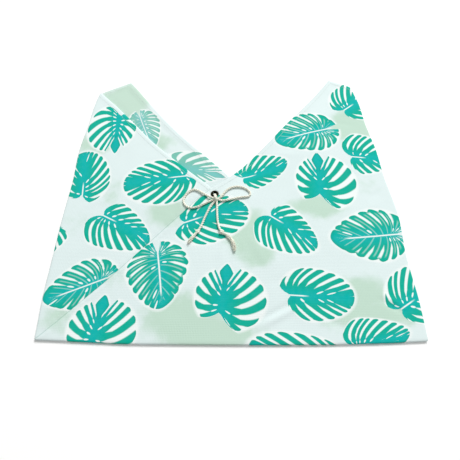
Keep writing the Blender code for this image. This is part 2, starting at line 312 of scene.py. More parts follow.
# The free stretches: x and y on the bag, and height of the middle over the cloth
cordRoutes = {
    "cordLoopLeft": [
        (-0.0249, 0.1906, 0.0035), (-0.0315, 0.1945, 0.0031), (-0.0376, 0.1990, 0.0026),
        (-0.0440, 0.2035, 0.0022), (-0.0507, 0.2056, 0.0020), (-0.0571, 0.2023, 0.0020),
        (-0.0616, 0.1966, 0.0020), (-0.0640, 0.1898, 0.0020), (-0.0632, 0.1832, 0.0020),
        (-0.0588, 0.1776, 0.0020), (-0.0520, 0.1752, 0.0020), (-0.0443, 0.1766, 0.0020),
        (-0.0366, 0.1806, 0.0020), (-0.0306, 0.1842, 0.0021), (-0.0249, 0.1870, 0.0024),
    ],
    "cordLoopRight": [
        (-0.0139, 0.1909, 0.0035), (-0.0104, 0.1956, 0.0031), (-0.0068, 0.2014, 0.0026),
        (-0.0014, 0.2070, 0.0022), (0.0056, 0.2104, 0.0020), (0.0132, 0.2111, 0.0020),
        (0.0204, 0.2092, 0.0020), (0.0262, 0.2048, 0.0020), (0.0286, 0.1996, 0.0020),
        (0.0258, 0.1950, 0.0020), (0.0194, 0.1934, 0.0020), (0.0122, 0.1922, 0.0020),
        (0.0050, 0.1899, 0.0020), (-0.0026, 0.1880, 0.0020), (-0.0084, 0.1868, 0.0021),
        (-0.0139, 0.1871, 0.0024),
    ],
    "cordTailLeft": [
        (-0.0218, 0.1841, 0.0023), (-0.0250, 0.1792, 0.0021), (-0.0284, 0.1728, 0.0020),
        (-0.0312, 0.1662, 0.0020), (-0.0339, 0.1592, 0.0020), (-0.0362, 0.1522, 0.0021),
        (-0.0385, 0.1458, 0.0024), (-0.0409, 0.1405, 0.0030),
    ],
    "cordTailRight": [
        (-0.0181, 0.1839, 0.0023), (-0.0178, 0.1780, 0.0021), (-0.0175, 0.1706, 0.0020),
        (-0.0172, 0.1634, 0.0020), (-0.0166, 0.1562, 0.0020), (-0.0155, 0.1492, 0.0021),
        (-0.0140, 0.1434, 0.0025), (-0.0126, 0.1398, 0.0030),
    ],
}
# Each end runs on from its knot to the loosened tip: x, y, height over the cloth and radius
endRoutes = {
    "cordEndLeft": [
        (-0.0441, 0.1357, 0.0030, 0.0018), (-0.0462, 0.1330, 0.0026, 0.0019),
        (-0.0492, 0.1288, 0.0027, 0.0023), (-0.0518, 0.1246, 0.0029, 0.0025),
        (-0.0540, 0.1205, 0.0029, 0.0021),
    ],
    "cordEndRight": [
        (-0.0090, 0.1354, 0.0030, 0.0018), (-0.0058, 0.1336, 0.0026, 0.0019),
        (-0.0016, 0.1300, 0.0026, 0.0021), (0.0018, 0.1254, 0.0027, 0.0023),
        (0.0042, 0.1200, 0.0029, 0.0025), (0.0056, 0.1140, 0.0030, 0.0026),
        (0.0062, 0.1085, 0.0029, 0.0021),
    ],
}
cordNodes = {
    "cordLoopLeft": "cord_loop_left", "cordLoopRight": "cord_loop_right",
    "cordTailLeft": "cord_tail_left", "cordTailRight": "cord_tail_right",
    "cordEndLeft": "cord_end_left", "cordEndRight": "cord_end_right",
}


def buildFreeCord(name):
    form = emptyForm()
    path = addTwisted(form, overCloth(cordRoutes[name]))
    return cordPiece(name, form, cordNodes[name]), path, float(runAlong(path)[-1])


# The overhand knot and the loosened end past it

endLook = {
    "knotScale": 0.00070,           # the knot's three lobes reach three times this
    "knotRadius": 0.00125,
    "knotFlatten": 0.8,
    "knotLift": 0.0004,
    "knotSteps": 90,
    "plyRadius": 0.00075,
    "plyTaper": 0.45,
    "plySpread": 0.45,              # of the tuft's own radius
    "plyTurns": 0.7,
    "plySides": 8,
    "yarns": 34,
    "yarnSides": 5,
    "yarnRadius": 0.00022,
    "yarnTip": 0.55,                # of the yarn's radius
    "yarnStart": (0.0, 0.35),       # least and most, of the tuft's length
    "yarnEnd": (0.86, 1.0),
    "yarnTurn": 1.2,                # radians round the tuft, either way
    "yarnSpread": 0.95,
    "yarnFill": (0.3, 1.0),
    "frizz": 0.00045,
    "frizzWaves": (5.0, 11.0),      # radians along a yarn
    "frizzPhase": (0.0, 6.0),
    "frizzGrowth": (0.2, 1.0),
    "seed": 7,
}


def knotPath(centre, heading):
    # The three-lobed run of an overhand knot, turned to the cord's heading
    turns = np.linspace(0.0, 2 * math.pi, endLook["knotSteps"])
    x = np.sin(turns) + 2 * np.sin(2 * turns)
    y = np.cos(turns) - 2 * np.cos(2 * turns)
    z = -np.sin(3 * turns) * endLook["knotFlatten"]
    cosine, sine = math.cos(heading), math.sin(heading)
    flat = np.column_stack([x * cosine - y * sine, x * sine + y * cosine, z])
    return np.asarray(centre) + flat * endLook["knotScale"]


def buildCordEnd(name, tailRoute):
    look = endLook
    random = np.random.default_rng(look["seed"] + len(name))
    route = np.array(overCloth(endRoutes[name]))
    tail = np.array(overCloth(tailRoute))
    form = emptyForm()
    heading = math.atan2(route[0, 1] - tail[-1, 1], route[0, 0] - tail[-1, 0])
    middle = (tail[-1] + route[0, :3]) / 2 + (0.0, 0.0, look["knotLift"])
    addTube(form, knotPath(middle, heading), look["knotRadius"], cordSection, cordTwist)
    addTwisted(form, [tail[-2], tail[-1], middle, route[0, :3], route[1, :3]], look["knotRadius"])

    fine = smoothRoute(route)
    centres, spread = fine[:, :3], fine[:, 3]
    across, up = sidesAlong(centres)

    def strand(part, turn, reach):
        offset = across[part] * (np.cos(turn) * reach)[:, None] + up[part] * (np.sin(turn) * reach)[:, None]
        return centres[part] + offset

    share = np.linspace(0.0, 1.0, len(fine))
    for ply in range(cordLook["plies"]):
        turn = 2 * math.pi * (ply / cordLook["plies"] + look["plyTurns"] * share)
        path = strand(slice(None), turn, spread * look["plySpread"])
        radii = look["plyRadius"] * (1.0 - look["plyTaper"] * share ** 3)
        addTube(form, path, radii, roundSection(look["plySides"]))
    for _ in range(look["yarns"]):
        start = random.uniform(*look["yarnStart"])
        end = random.uniform(*look["yarnEnd"])
        part = slice(int(start * len(fine)), int(end * len(fine)), 2)
        share = np.linspace(0.0, 1.0, len(fine[part]))
        turn = random.uniform(0.0, 2 * math.pi) + random.uniform(-look["yarnTurn"], look["yarnTurn"]) * share
        reach = spread[part] * look["yarnSpread"] * math.sqrt(random.uniform(*look["yarnFill"]))
        wave = np.sin(random.uniform(*look["frizzWaves"]) * share + random.uniform(*look["frizzPhase"]))
        least, most = look["frizzGrowth"]
        reach = reach + look["frizz"] * wave * (least + (most - least) * share)
        radii = look["yarnRadius"] * (1.0 + (look["yarnTip"] - 1.0) * share)
        addTube(form, strand(part, turn, reach), radii, roundSection(look["yarnSides"]))
    return cordPiece(name, form, cordNodes[name])


# The bow knot between the loops

knotLook = {
    "place": (-0.0194, 0.1883),
    "middleHeight": 0.0037,         # of the crossing strands over the cloth
    "crossing": 0.0013,             # each loop's strand over or under the middle
    "tailSpread": 0.0006,
    "tailTuck": [(-0.0012, 0.0009), (0.0021, 0.0006)],  # y and z from the middle
    "wrapReach": (0.0036, 0.0031),  # half height and half depth of the turn over the middle
    "wrapTurns": 1.3,
    "wrapStart": -0.35 * math.pi,
    "wrapSteps": 60,
    "wrapShift": 0.0026,
    "wrapTilt": math.radians(12),
    "strandRadius": 0.00135,
    "stemSpread": 0.00055,
    # out of the eyelet, over its crown and down into the knot: x, y and height over the table
    "stem": [
        (-0.0214, 0.1973, 0.0018), (-0.0214, 0.1973, 0.0042), (-0.0213, 0.1969, 0.0066),
        (-0.0210, 0.1955, 0.0089), (-0.0203, 0.1930, 0.0093), (-0.0194, 0.1895, 0.0079),
    ],
}


def buildBowKnot():
    look = knotLook
    form = emptyForm()
    radius = look["strandRadius"]
    middle = np.array(overCloth([(*look["place"], look["middleHeight"])], 0.0)[0])
    ends = {name: np.array(overCloth(route)) for name, route in cordRoutes.items()}
    left, right = ends["cordLoopLeft"], ends["cordLoopRight"]
    over = np.array([0.0, 0.0, look["crossing"]])
    addTwisted(form, [left[1], left[0], middle + over, right[-1], right[-2]], radius)
    addTwisted(form, [left[-2], left[-1], middle - over, right[0], right[1]], radius)
    for name, sideways in (("cordTailLeft", -look["tailSpread"]), ("cordTailRight", look["tailSpread"])):
        inner, top = (middle + (shift, *tuck) for shift, tuck in zip((sideways, 0.0), look["tailTuck"]))
        addTwisted(form, [ends[name][1], ends[name][0], inner, top], radius)

    turns = np.linspace(0.0, look["wrapTurns"] * 2 * math.pi, look["wrapSteps"]) + look["wrapStart"]
    shift = np.linspace(-0.5, 0.5, look["wrapSteps"]) * look["wrapShift"]
    tall, deep = look["wrapReach"]
    cosine, sine = math.cos(look["wrapTilt"]), math.sin(look["wrapTilt"])
    inPlane = deep * np.cos(turns)
    wrap = [shift * cosine - inPlane * sine, shift * sine + inPlane * cosine, tall * np.sin(turns)]
    addTwisted(form, middle + np.column_stack(wrap), radius)
    for sideways in (-look["stemSpread"], look["stemSpread"]):
        addTwisted(form, [(x + sideways, y - lying["middleY"], z) for x, y, z in look["stem"]], radius)
    cordPiece("bowKnot", form, "bow_knot")


buildBowKnot()
for loopName in ("cordLoopLeft", "cordLoopRight"):
    loop, loopPath, loopLength = buildFreeCord(loopName)
for tailName, endName in (("cordTailLeft", "cordEndLeft"), ("cordTailRight", "cordEndRight")):
    tail, tailPath, tailLength = buildFreeCord(tailName)
    cordEnd = buildCordEnd(endName, cordRoutes[tailName])
print("stage: cord, bow and loosened ends")


# The eyelet: a ring of aged brass, clenched round the edge of its hole

eyeletLook = {
    "hole": 0.0030,
    "outer": 0.0057,
    "lower": 0.0052,
    "crown": 0.0010,                # how far the rolled rim stands over the cloth
    "crownSteps": 12,
    "grip": 0.0009,                 # from the middle of the cloth to either flange
    "lip": 0.0001,
    "sheet": 0.00045,
    "middleHeight": 0.0046,         # of the gripped cloth
    "steps": 96,
    "sharpOver": math.radians(50),
    "tones": [(0.62, "#14160f"), (0.74, "#45422f")],
    "stains": 500.0,                # to a metre, so 2 mm across
    "stainShare": 0.30,             # beside how far the surface stands proud
    "scratches": 3300.0,            # to a metre, so 0.3 mm apart, from handling
    "scratchBump": 0.0001,
}


def brassMaterial():
    # Brass, pressed and darkened with age: near black in the hollows, rubbed bright on the rim
    material, tree, shader = newMaterial("aged brass", {"Metallic": 1.0, "Roughness": 0.38})
    place = addNode(tree, "TexCoord", {}).outputs["Object"]
    worn = addNode(tree, "NewGeometry", {})
    stains = addNode(tree, "TexNoise", {"Scale": eyeletLook["stains"], "Detail": 4.0, "Vector": place})
    rubbed = addNode(tree, "Math", {
        "operation": "MULTIPLY_ADD",
        0: stains.outputs[0], 1: eyeletLook["stainShare"], 2: worn.outputs["Pointiness"],
    })
    tones = addNode(tree, "ValToRGB", {"Fac": rubbed.outputs[0]})
    for element, (position, colour) in zip(tones.color_ramp.elements, eyeletLook["tones"]):
        element.position = position
        element.color = toLinear(colour)
    scratches = addNode(tree, "TexNoise", {
        "Scale": eyeletLook["scratches"], "Detail": 2.0, "Vector": place,
    })
    bump = addNode(tree, "Bump", {
        "Strength": 0.15, "Distance": eyeletLook["scratchBump"], "Height": scratches.outputs[0],
    })
    tree.links.new(tones.outputs[0], shader.inputs["Base Color"])
    tree.links.new(bump.outputs[0], shader.inputs["Normal"])
    return material


def buildEyelet():
    look = eyeletLook
    rollMiddle = (look["hole"] + look["outer"]) / 2
    rollReach = (look["outer"] - look["hole"]) / 2
    section = [
        (rollMiddle - rollReach * math.cos(turn), look["grip"] + look["crown"] * math.sin(turn))
        for turn in np.linspace(0.0, math.pi, look["crownSteps"])
    ]
    section += [
        (look["outer"] - look["sheet"], look["grip"] - look["lip"]),
        (look["hole"] + look["sheet"], look["grip"] - look["lip"]),
        (look["hole"] + look["sheet"], -look["grip"]),
        (look["lower"], -look["grip"]),
        (look["lower"], -look["grip"] - look["sheet"]),
        (look["hole"], -look["grip"] - look["sheet"]),
    ]
    x, y = lying["eyelet"]
    count = len(section)
    verts, faces = [], []
    for step in range(look["steps"]):
        angle = 2 * math.pi * step / look["steps"]
        for radius, height in section:
            out = (x + radius * math.cos(angle), y - lying["middleY"] + radius * math.sin(angle))
            verts.append((*out, look["middleHeight"] + height))
        near, far = step * count, (step + 1) % look["steps"] * count
        for index in range(count):
            beside = (index + 1) % count
            faces.append((far + index, far + beside, near + beside, near + index))
    piece = newPiece("eyeletRing", verts, faces, brassMaterial())
    split = piece.modifiers.new("sharp edges", "EDGE_SPLIT")
    split.split_angle = look["sharpOver"]
    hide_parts("eyelet")


buildEyelet()
print("stage: eyelet")


# The leaf print. A leaf's own frame has its stalk at (0, 0), its tip at (0, 1) and its sides
# near (-1, 0) and (1, 0). Fingers leave the midrib and sweep round towards the tip, between
# slits; a finger's station is where its curve leaves the midrib. On each side:
# - setOff, steepen and curl are the slope of the fingers, how it grows and how they bend
# - fingers, crowd and first count them by station, and fan by the turn round the stalk
# - end is the last finger's edge, as a station or, below zero, as that turn in radians
# The outline has its middle at (lean, middle) and reaches above and below it, narrowing by
# ovate. Slits start at slitStart from the midrib, and stop endSolid short of the last edge.

spreadSide = {"steepen": 5.0, "setOff": -1.1, "curl": 0.42, "fingers": 15.3, "crowd": 0.5}
veinedSide = {"steepen": 2.0, "setOff": -0.28, "curl": 0.28, "crowd": 0.5, "end": -1.15}
leafForms = {
    # open fingers, a lobe at the tip and one long finger beside the stalk
    "spread": {
        "left": {**spreadSide, "first": 40.14, "end": 0.10},
        "right": {**spreadSide, "first": 0.14, "end": 0.046},
        "offset": 0.02, "fan": 2.6, "swirl": 0.0, "lastFinger": 0.44,
        "lean": 0.21, "middle": 0.34, "above": 0.60, "below": 0.63, "ovate": 0.0, "point": 2.0,
        "slit": 0.42, "slitStart": 0.40, "slitSlope": -0.55, "vein": 0.0,
        "ribEnd": -1.0, "lobe": True, "endSolid": 0.0,
    },
    # a solid heart, cut by narrow slits
    "solid": {
        "left": {
            "steepen": 1.4, "setOff": 0.10, "curl": 0.32,
            "fingers": 8.0, "crowd": 1.0, "first": 40.15, "end": -0.95,
        },
        "right": {
            "steepen": 2.8, "setOff": -0.14, "curl": 0.32,
            "fingers": 9.0, "crowd": 0.5, "first": -0.10, "end": -1.28,
        },
        "offset": 0.01, "fan": 1.3, "swirl": 3.5, "lastFinger": 9.0,
        "lean": 0.20, "middle": 0.15, "above": 0.86, "below": 0.41, "ovate": 0.32, "point": 2.0,
        "slit": 0.36, "slitStart": 0.30, "slitSlope": -0.12, "vein": 0.0,
        "ribEnd": 0.26, "lobe": False, "endSolid": 0.30,
    },
    # a full outline, with a pale midrib and a pale vein down each finger
    "veined": {
        "left": {**veinedSide, "fingers": 9.4, "first": 40.25},
        "right": {**veinedSide, "fingers": 9.8, "first": -0.45},
        "offset": 0.02, "fan": 2.4, "swirl": 0.0, "lastFinger": 9.0,
        "lean": 0.06, "middle": 0.25, "above": 0.76, "below": 0.57, "ovate": 0.32, "point": 1.85,
        "slit": 0.30, "slitStart": 0.32, "slitSlope": 0.0, "vein": 0.11,
        "ribEnd": 0.80, "lobe": False, "endSolid": 0.10,
    },
}
# the solid heart with a blunt, broad tip
leafForms["broad"] = {
    **leafForms["solid"], "lean": 0.10, "middle": 0.28, "above": 0.70, "below": 0.50, "ovate": 0.0,
}
leafShape = {
    "lobeMiddle": 0.81,
    "lobeAbove": 0.20,
    "lobeBelow": 0.25,
    "lobeWidth": 0.21,
    "lobeRound": 0.75,              # 1 is a plain diamond, less is rounder
    "neckFrom": 0.40,
    "neckWidth": 0.08,
    "leastStart": 0.08,             # of a slit, from the midrib
}
# Each row: stalk x and y on the drafted bag, heading of the tip, length, half width, form.
# Millimetres and degrees, as the print lies on each sewn piece of the strip. A half width
# below zero turns the leaf over.
leafRows = {
    "frontEar": [
        (-185, 345, -82, 80, 36, "spread"), (-208, 194, 97, 76, 34, "broad"),
        (-70, 220, -172, 86, -41, "broad"), (-171, 156, -30, 74, 34, "solid"),
        (-237, 141, -106, 60, 33, "solid"), (-162, 69, -158, 67, 31, "veined"),
    ],
    "frontBody": [
        (-95, 97, -77, 62, 40, "veined"), (-159, -9, 85, 60, 42, "spread"),
        (-12, 30, 83, 58, 43, "spread"), (-61, 143, 18, 89, 35, "broad"),
        (56, 156, -34, 70, 37, "solid"), (22, 225, 18, 71, -32, "solid"),
        (155, 310, -166, 80, 39, "veined"), (212, 130, -175, 81, 38, "veined"),
        (128, 191, 84, 75, 43, "spread"), (201, 350, 30, 76, -36, "broad"),
        (190, 257, -8, 70, -38, "solid"), (205, 37, 30, 74, -33, "broad"),
        (143, -4, 8, 64, -24, "solid"), (118, -29, 166, 103, 27, "broad"),
        (74, 52, -3, 76, -31, "broad"),
    ],
    "backBody": [
        (-152, 339, -61, 65, 24, "veined"), (-83, 242, -13, 77, 30, "spread"),
        (-205, 318, 85, 52, 26, "solid"), (-190, 243, 20, 60, 32, "veined"),
        (-140, 190, -25, 66, 34, "solid"), (-35, 185, -80, 60, 40, "spread"),
        (-165, 112, 10, 62, 31, "veined"), (-62, 118, -150, 66, 33, "solid"),
        (5, 75, 75, 58, 41, "spread"), (72, 105, -35, 66, 33, "veined"),
        (165, 40, 165, 60, 29, "solid"), (-205, 20, 60, 50, 26, "solid"),
        (-88, 58, -110, 52, 28, "veined"), (-45, 32, -5, 60, 30, "solid"),
        (214, 12, 110, 44, 22, "spread"), (46, 150, 40, 62, 30, "solid"),
    ],
    "backEar": [
        (205, 105, 120, 60, 38, "spread"), (95, 178, 15, 64, 29, "solid"),
        (160, 212, 80, 56, 29, "veined"), (150, 268, 40, 60, 29, "solid"),
    ],
}


def leafLocal(flat, row, mirrored):
    # Points of the drafted cloth in the leaf's own frame
    stalkX, stalkY, heading, length, half, _ = row
    turn = math.radians(heading)
    offX, offY = (1000 * flat - (stalkX, stalkY)).T
    tipward = offX * math.cos(turn) + offY * math.sin(turn)
    sideways = offX * math.sin(turn) - offY * math.cos(turn)
    return (-sideways if mirrored else sideways) / half, tipward / length


def leafOutline(u, v, form):
    # 1 on the outline that the finger tips reach
    upward = v - form["middle"]
    wide = 1.0 - form["ovate"] * np.maximum(upward, 0.0)
    reach = np.where(upward > 0, form["above"], form["below"])
    power = np.where(upward > 0, form["point"], 2.0)
    return (np.abs((u - form["lean"]) / wide) ** power + np.abs(upward / reach) ** power) ** (1.0 / power)


def tipLobe(u, v):
    # How far a point is inside the lobe at the tip, and its neck
    upward = v - leafShape["lobeMiddle"]
    profile = 1.0 - np.abs(upward) / np.where(upward > 0, leafShape["lobeAbove"], leafShape["lobeBelow"])
    diamond = leafShape["lobeWidth"] * np.sign(profile) * np.abs(profile) ** leafShape["lobeRound"]
    neck = np.where((v > leafShape["neckFrom"]) & (upward < 0), leafShape["neckWidth"], -1.0)
    return np.maximum(diamond, neck) - np.abs(u)


def leafFields(u, v, form):
    # What the print shader needs at a point: finger count, slit depth, rim, tip lobe, how far
    # it is past the last finger's edge, and the form's own endSolid
    phase, depth, pastEnd = np.zeros((3, len(u)))
    for side, picked in ((form["left"], u < 0), (form["right"], u >= 0)):
        across = np.abs(u[picked])
        bent = v[picked] - side["setOff"] * across - side["curl"] * across ** 2
        turn = np.maximum(np.arctan2(-bent, across), 0.0) * (1.0 + form["swirl"] * np.hypot(across, bent))
        spreading = 1.0 + side["steepen"] * across
        station = np.maximum(bent, 0.0) / spreading
        count = side["fingers"] * (station + form["offset"]) ** side["crowd"]
        phase[picked] = count - form["fan"] * turn + side["first"]
        away = np.where(turn > 0, np.hypot(across, bent), across)
        start = np.maximum(form["slitStart"] + form["slitSlope"] * station, leafShape["leastStart"])
        depth[picked] = away / start - 1.0
        reached = bent / spreading if side["end"] > 0 else station - turn
        pastEnd[picked] = np.maximum(side["end"] - reached, station - form["lastFinger"])
    lobe = tipLobe(u, v) if form["lobe"] else np.full(len(u), -1.0)
    return phase, depth, leafOutline(u, v, form), lobe, pastEnd, np.full(len(u), form["endSolid"])


# The print's second colour, a soft sage wash between the leaves: middle, reach and strength,
# in millimetres on the drafted bag
sageWash = {
    "front": [
        ((-52, 26), (50, 27), 1.0), ((-28, 10), (58, 18), 1.0), ((-89, 160), (26, 24), 0.9),
        ((22, 130), (28, 38), 1.0), ((32, 100), (24, 15), 0.9), ((163, 54), (28, 21), 1.0),
        ((165, 30), (56, 20), 0.95), ((202, 314), (32, 32), 1.15), ((122, 174), (38, 18), 0.95),
        ((-202, 24), (26, 22), 0.6), ((-204, 285), (30, 22), 0.9), ((-166, 196), (18, 26), 0.5),
        ((-208, 150), (20, 30), 0.35), ((-150, 72), (24, 18), 0.5), ((195, 205), (22, 30), 0.35),
        ((60, 245), (30, 18), 0.5),
    ],
    "back": [
        ((-187, 376), (34, 42), 1.15), ((-118, 290), (30, 20), 0.8), ((-110, 150), (26, 24), 0.8),
        ((10, 140), (28, 18), 0.8), ((110, 60), (30, 20), 0.9), ((-20, 50), (24, 16), 0.7),
        ((120, 240), (22, 26), 0.8), ((-190, 165), (20, 26), 0.6),
    ],
}
washFall = 2.5      # how sharply a patch fades at its edge


def secondPrint(flat, side):
    # Half the strength on a patch's edge
    total = np.zeros(len(flat))
    for middle, reach, strength in sageWash[side]:
        away = np.linalg.norm((flat * 1000 - middle) / reach, axis=1)
        total = np.maximum(total, strength * np.exp2(-away ** washFall))
    return total


# The cloth: a strip on the bias, folded over at both sides and the near edge and sewn
# along one slanting seam in front and one behind

cloth = {
    "flat": (0.32, 0.88),           # the strip as it was cut
    "halfWidth": 0.225,
    "cells": 80,                    # of the grid, in half the width
    "lapCells": 10,                 # each end of the strip stands in this far from its ear
    "foldSteps": 6,
    "thickness": 0.0013,            # of the hems; the rest is the share below of it
    "plainShare": 0.6,
    "fade": 0.028,                  # of the swells and creases, towards a fold
    "sewnFade": 0.004,              # of the hems and seams, towards a fold
    "hemRows": 4,                   # rows of the grid's slanting lines, 2 mm apart
    "hemRise": 0.00030,
    "stitchRows": 3,
    "stitchDip": 0.00022,
    "stitchWidth": 0.6,             # of a row
    "seamDip": 0.00090,
    "seamDipWidth": 0.0015,
    "seamRise": 0.00070,            # of the ridge where the seam's edge lies under the cloth
    "seamRidge": 0.0035,            # below the seam
    "seamRidgeWidth": 0.0022,
    "seamPucker": 0.00020,
    "puckerRun": 0.013,
    "puckerWidth": 0.006,
    "creaseTaper": 0.75,
    # folds round the eyelet, their phase and share
    "eyeletFolds": [(7, 1.1, 1.0), (4, -0.7, 0.6)],
    "eyeletPucker": 0.00035,
    "puckerStart": 0.006,
    "puckerReach": 0.020,
    "eyeletCut": 0.0044,
    # small wrinkles: to a metre, height and slice of the noise
    "wrinkles": [(21.0, 0.00042, 0.0), (52.0, 0.00020, 5.3), (110.0, 0.00009, 10.6)],
    "looseEdge": 0.0009,            # of the lower layer's free strip
    "looseWaves": (30.0, 2.0),      # to a metre, and slice of the noise
    "looseRun": 0.012,
    "looseSide": 0.020,
    "overhangDrop": 0.0015,
    "overhangRun": 0.030,
    "earDrop": 0.0004,
    "earRun": 0.018,
}
cell = cloth["halfWidth"] / cloth["cells"]
lap = cell * cloth["lapCells"]
hemRow = cell / math.sqrt(2)
foldArc = math.pi * lying["foldHeight"] / 2

# Each row is a drafted point, x and y, and the place where it lies in the real, uneven bag,
# in millimetres
layingRows = [
    (-225, 0, -220, 0), (-112.5, 0, -113, -4.5), (0, 0, 0, -5.5), (112.5, 0, 113.5, -5.2),
    (225, 0, 222.5, -1.5), (-225, 50, -223.3, 50), (-225, 100, -224.3, 103),
    (-225, 160, -225.3, 165), (-225, 220, -224.8, 228), (-225, 270, -227.2, 281),
    (-225, 320, -224, 334), (-225, 360, -222.5, 375), (-225, 393.8, -218, 411),
    (-196.9, 421.9, -171.4, 438), (-98.4, 323.4, -91.5, 331.5), (-126.6, 295.3, -124, 304.5),
    (-28.1, 196.9, -25.8, 209.5), (0, 225, 1, 230.5), (-158, 67, -153, 69), (120, 120, 121, 124),
    (225, 50, 224.3, 50), (225, 100, 223.3, 104), (225, 160, 227.2, 166), (225, 220, 221.8, 231),
    (225, 270, 220.3, 284), (225, 320, 214.4, 337), (225, 360, 211.9, 385),
    (225, 393.8, 204.5, 425), (196.9, 421.9, 172.5, 444.5), (98.4, 323.4, 89, 337),
]
# Creases: start and end on the drafted bag, half width and height, in millimetres
creases = [
    ((30, 22), (76, 45), 2.8, -1.30), ((33, 16), (79, 39), 3.2, 1.50),
    ((180, 46), (205, 31), 2.6, -1.20), ((183, 52), (208, 37), 3.2, 1.30),
    ((112, 25), (129, 16), 2.6, -0.90), ((193, 185), (221, 203), 3.2, -0.45),
    ((186, 170), (220, 184), 4.0, 0.30), ((-210, 8), (-200, 44), 2.4, -1.10),
    ((-9, 128), (-15, 84), 4.0, 0.35), ((6, 128), (12, 88), 3.6, -0.35),
    ((22, 128), (44, 88), 4.5, 0.40), ((34, 152), (62, 120), 4.0, -0.30),
    ((-60, 150), (-88, 128), 4.0, 0.30), ((-205, 300), (-170, 262), 5.0, -0.45),
    ((-215, 175), (-180, 190), 4.0, -0.35), ((150, 240), (205, 228), 4.5, 0.35),
    ((160, 330), (205, 318), 4.0, -0.35), ((70, 268), (120, 262), 5.0, 0.30),
    ((-120, 20), (-60, 60), 6.0, 0.35), ((20, 60), (100, 78), 6.0, -0.35),
]


def plateWeight(distance):
    return distance ** 2 * np.log(distance + 1e-9)      # never quite zero


def makeLay():
    # A thin plate bent through the rows: drafted points in, lying points out
    drafted, placed = np.hsplit(np.array(layingRows) / 1000, 2)
    count = len(drafted)
    system = np.zeros((count + 3, count + 3))
    system[:count, :count] = plateWeight(np.linalg.norm(drafted[:, None] - drafted[None], axis=2))
    system[:count, count:] = np.column_stack([np.ones(count), drafted])
    system[count:, :count] = system[:count, count:].T
    weights = np.linalg.solve(system, np.vstack([placed, np.zeros((3, 2))]))

    def bend(flat):
        reach = np.linalg.norm(flat[:, None] - drafted[None], axis=2)
        return np.column_stack([plateWeight(reach), np.ones(len(flat)), flat]) @ weights

    return bend


lay = makeLay()


def frontTop(column):
    # Top of the upper layer over a grid column, in cells
    wide, inset = cloth["cells"], cloth["lapCells"]
    return min(max(wide - 2 * inset - column, wide + column), 3 * wide - 2 * inset - column)


def backTop(column):
    return frontTop(-column)


def layerGrid(top):
    # The layer's grid points, and the number of each
    wide = cloth["cells"]
    points = [(i, j) for i in range(-wide, wide + 1) for j in range(top(i) + 1)]
    return points, {point: index for index, point in enumerate(points)}


def layerFaces(at, mirrored):
    # Faces of the ear's piece above the seam and of the body below it. A cell that an edge
    # or the seam crosses is split corner to corner.
    wide, inset = cloth["cells"], cloth["lapCells"]
    ear, body = [], []
    for i in range(-wide, wide):
        column = -i - 1 if mirrored else i
        for j in range(2 * wide):
            corners = [(i, j), (i + 1, j), (i + 1, j + 1), (i, j + 1)]
            inside = [at[corner] for corner in corners if corner in at]
            overSeam = j - wide - column if column < -inset else -1
            if len(inside) < 3:
                continue
            if overSeam == 0 and len(inside) == 4:
                near, beside, far, above = inside
                if mirrored:
                    body.append((near, beside, above))
                    ear.append((beside, far, above))
                else:
                    body.append((near, beside, far))
                    ear.append((near, far, above))
            elif overSeam > 0:
                ear.append(tuple(inside))
            else:
                body.append(tuple(inside))
    return ear, body


def edgeDistance(flat, mirrored):
    # How far a point stands in from the mouth's edge
    x = -flat[:, 0] if mirrored else flat[:, 0]
    y = flat[:, 1]
    half = cloth["halfWidth"]
    shortSide = half - 2 * lap - x - y
    longSide = np.minimum(half + x - y, 3 * half - 2 * lap - x - y)
    return np.where(x < -lap, shortSide, longSide) / math.sqrt(2)


def seamDistance(flat, mirrored):
    # How far a point stands over the seam, and whether the seam runs there
    x = -flat[:, 0] if mirrored else flat[:, 0]
    return (flat[:, 1] - cloth["halfWidth"] - x) / math.sqrt(2), x < -lap


def bell(distance, width):
    return np.exp(-(distance / width) ** 2)


def noiseOver(flat, scale, height):
    return np.array([noise.noise(Vector((x * scale, y * scale, height))) for x, y in flat])


def hemRelief(flat):
    inward = edgeDistance(flat, False)
    rise = cloth["hemRise"] * (1.0 - softStep((inward - cloth["hemRows"] * hemRow) / hemRow))
    row = bell(inward - cloth["stitchRows"] * hemRow, cloth["stitchWidth"] * hemRow)
    return rise - cloth["stitchDip"] * row


def seamRelief(flat):
    over, runs = seamDistance(flat, False)
    groove = cloth["seamDip"] * bell(over, cloth["seamDipWidth"])
    ridge = cloth["seamRise"] * bell(over + cloth["seamRidge"], cloth["seamRidgeWidth"])
    waves = np.sin(2 * math.pi * flat.sum(axis=1) / cloth["puckerRun"])
    pucker = cloth["seamPucker"] * waves * bell(over, cloth["puckerWidth"])
    return np.where(runs, ridge - groove + pucker, 0.0)


def creaseRelief(flat):
    total = np.zeros(len(flat))
    for start, end, width, height in creases:
        start, end = np.array(start) / 1000, np.array(end) / 1000
        span = end - start
        share = np.clip((flat - start) @ span / (span @ span), 0.0, 1.0)
        away = np.linalg.norm(flat - start - share[:, None] * span, axis=1) * 1000
        taper = 1.0 - cloth["creaseTaper"] * (2.0 * share - 1.0) ** 2
        total += height / 1000 * bell(away, width) * taper
    return total


def eyeletPuckers(place):
    # Short radial folds where the cloth is gripped
    offset = place - np.array(lying["eyelet"])
    away = np.linalg.norm(offset, axis=1)
    angle = np.arctan2(offset[:, 1], offset[:, 0])
    waves = sum(share * np.cos(folds * angle + phase) for folds, phase, share in cloth["eyeletFolds"])
    start = cloth["puckerStart"]
    reach = softStep((away - start) / start) * np.exp(-away / cloth["puckerReach"])
    return cloth["eyeletPucker"] * waves * reach


